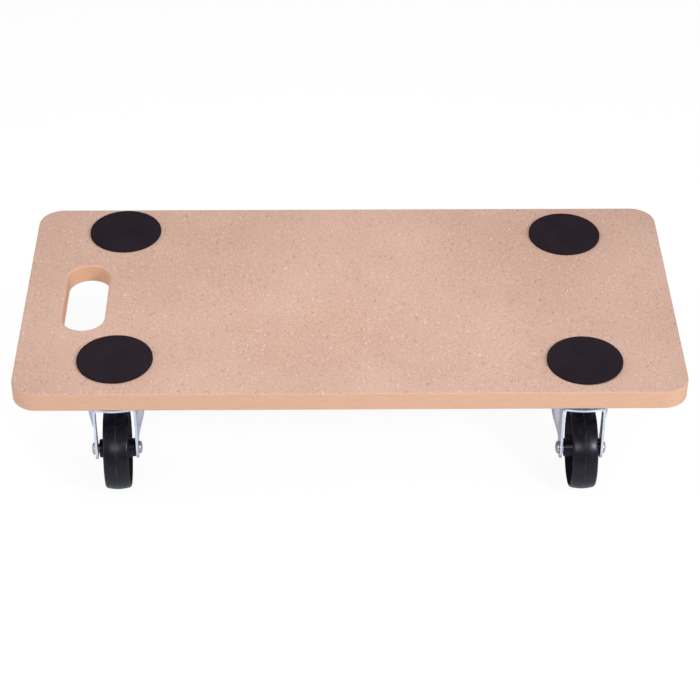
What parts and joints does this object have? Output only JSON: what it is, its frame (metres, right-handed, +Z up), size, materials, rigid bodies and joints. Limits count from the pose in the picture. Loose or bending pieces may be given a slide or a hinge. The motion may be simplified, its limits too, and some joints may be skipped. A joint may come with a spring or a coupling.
{
  "type": "platform dolly",
  "caption": "Flat rectangular MDF platform dolly with an oblong hand slot, round anti-slip discs on top and free-swivelling casters with hard black wheels.",
  "frame": {"origin": "on the floor under the middle of the deck, at the bottom centre of the bounding box", "axes": "+Z up, +X along the deck away from the hand slot, +Y across the deck towards the rear casters"},
  "size_m": [0.58, 0.315, 0.1155],
  "materials": {
    "mdf": "raw medium-density fibreboard, sanded, fine pale and dark fibre specks, unlacquered",
    "pad_rubber": "matte solid rubber sheet with a fine grain and a slightly paler cut edge",
    "zinc_sheet": "bright zinc plate on pressed sheet steel, glossy, faintly blue",
    "rivet_steel": "bright steel rivet, slightly worn dome",
    "screw_steel": "zinc plated screw, satin",
    "ball_steel": "polished bearing balls with a film of grease",
    "wheel_plastic": "black polypropylene moulding, glossy, with a parting line round the tread"
  },
  "bodies": {
    "deck_assembly": {"deck": "mdf", "pad_front_left": "pad_rubber", "pad_front_right": "pad_rubber", "pad_rear_left": "pad_rubber", "pad_rear_right": "pad_rubber", "front_left_mounting_plate": "zinc_sheet", "front_left_kingpin": "rivet_steel", "front_left_race_cup": "zinc_sheet", "front_left_screw_1": "screw_steel", "front_left_screw_2": "screw_steel", "front_left_screw_3": "screw_steel", "front_left_screw_4": "screw_steel", "front_right_mounting_plate": "zinc_sheet", "front_right_kingpin": "rivet_steel", "front_right_race_cup": "zinc_sheet", "front_right_screw_1": "screw_steel", "front_right_screw_2": "screw_steel", "front_right_screw_3": "screw_steel", "front_right_screw_4": "screw_steel", "rear_left_mounting_plate": "zinc_sheet", "rear_left_kingpin": "rivet_steel", "rear_left_race_cup": "zinc_sheet", "rear_left_screw_1": "screw_steel", "rear_left_screw_2": "screw_steel", "rear_left_screw_3": "screw_steel", "rear_left_screw_4": "screw_steel", "rear_right_mounting_plate": "zinc_sheet", "rear_right_kingpin": "rivet_steel", "rear_right_race_cup": "zinc_sheet", "rear_right_screw_1": "screw_steel", "rear_right_screw_2": "screw_steel", "rear_right_screw_3": "screw_steel", "rear_right_screw_4": "screw_steel"},
    "front_left_swivel": {"front_left_fork": "zinc_sheet", "front_left_axle_rivet": "rivet_steel", "front_left_axle_sleeve": "rivet_steel"},
    "front_left_ball_race": {"front_left_upper_balls": "ball_steel", "front_left_lower_balls": "ball_steel"},
    "front_left_roller": {"front_left_wheel": "wheel_plastic"},
    "front_right_swivel": {"front_right_fork": "zinc_sheet", "front_right_axle_rivet": "rivet_steel", "front_right_axle_sleeve": "rivet_steel"},
    "front_right_ball_race": {"front_right_upper_balls": "ball_steel", "front_right_lower_balls": "ball_steel"},
    "front_right_roller": {"front_right_wheel": "wheel_plastic"},
    "rear_left_swivel": {"rear_left_fork": "zinc_sheet", "rear_left_axle_rivet": "rivet_steel", "rear_left_axle_sleeve": "rivet_steel"},
    "rear_left_ball_race": {"rear_left_upper_balls": "ball_steel", "rear_left_lower_balls": "ball_steel"},
    "rear_left_roller": {"rear_left_wheel": "wheel_plastic"},
    "rear_right_swivel": {"rear_right_fork": "zinc_sheet", "rear_right_axle_rivet": "rivet_steel", "rear_right_axle_sleeve": "rivet_steel"},
    "rear_right_ball_race": {"rear_right_upper_balls": "ball_steel", "rear_right_lower_balls": "ball_steel"},
    "rear_right_roller": {"rear_right_wheel": "wheel_plastic"}
  },
  "joints": [
    {"name": "front_left_swivel_turn", "type": "hinge", "parent": "deck_assembly", "child": "front_left_swivel", "pos_m": [-0.205, -0.094, 0.09], "axis": [0, 0, 1], "continuous": true},
    {"name": "front_left_ball_orbit", "type": "hinge", "parent": "deck_assembly", "child": "front_left_ball_race", "pos_m": [-0.205, -0.094, 0.085], "axis": [0, 0, 1], "continuous": true},
    {"name": "front_left_wheel_spin", "type": "hinge", "parent": "front_left_swivel", "child": "front_left_roller", "pos_m": [-0.20391, -0.11898, 0.0365], "axis": [0.999, 0.0436, 0], "continuous": true},
    {"name": "front_right_swivel_turn", "type": "hinge", "parent": "deck_assembly", "child": "front_right_swivel", "pos_m": [0.202, -0.096, 0.09], "axis": [0, 0, 1], "continuous": true},
    {"name": "front_right_ball_orbit", "type": "hinge", "parent": "deck_assembly", "child": "front_right_ball_race", "pos_m": [0.202, -0.096, 0.085], "axis": [0, 0, 1], "continuous": true},
    {"name": "front_right_wheel_spin", "type": "hinge", "parent": "front_right_swivel", "child": "front_right_roller", "pos_m": [0.202, -0.121, 0.0365], "axis": [1, 0, 0], "continuous": true},
    {"name": "rear_left_swivel_turn", "type": "hinge", "parent": "deck_assembly", "child": "rear_left_swivel", "pos_m": [-0.202, 0.096, 0.09], "axis": [0, 0, 1], "continuous": true},
    {"name": "rear_left_ball_orbit", "type": "hinge", "parent": "deck_assembly", "child": "rear_left_ball_race", "pos_m": [-0.202, 0.096, 0.085], "axis": [0, 0, 1], "continuous": true},
    {"name": "rear_left_wheel_spin", "type": "hinge", "parent": "rear_left_swivel", "child": "rear_left_roller", "pos_m": [-0.202, 0.121, 0.0365], "axis": [-1, 0, 0], "continuous": true},
    {"name": "rear_right_swivel_turn", "type": "hinge", "parent": "deck_assembly", "child": "rear_right_swivel", "pos_m": [0.205, 0.094, 0.09], "axis": [0, 0, 1], "continuous": true},
    {"name": "rear_right_ball_orbit", "type": "hinge", "parent": "deck_assembly", "child": "rear_right_ball_race", "pos_m": [0.205, 0.094, 0.085], "axis": [0, 0, 1], "continuous": true},
    {"name": "rear_right_wheel_spin", "type": "hinge", "parent": "rear_right_swivel", "child": "rear_right_roller", "pos_m": [0.20391, 0.11898, 0.0365], "axis": [-0.999, -0.0436, 0], "continuous": true}
  ],
  "couplings": [
    {"joint": "front_left_ball_orbit", "follows": "front_left_swivel_turn", "ratio": 0.5},
    {"joint": "front_right_ball_orbit", "follows": "front_right_swivel_turn", "ratio": 0.5},
    {"joint": "rear_left_ball_orbit", "follows": "rear_left_swivel_turn", "ratio": 0.5},
    {"joint": "rear_right_ball_orbit", "follows": "rear_right_swivel_turn", "ratio": 0.5}
  ]
}
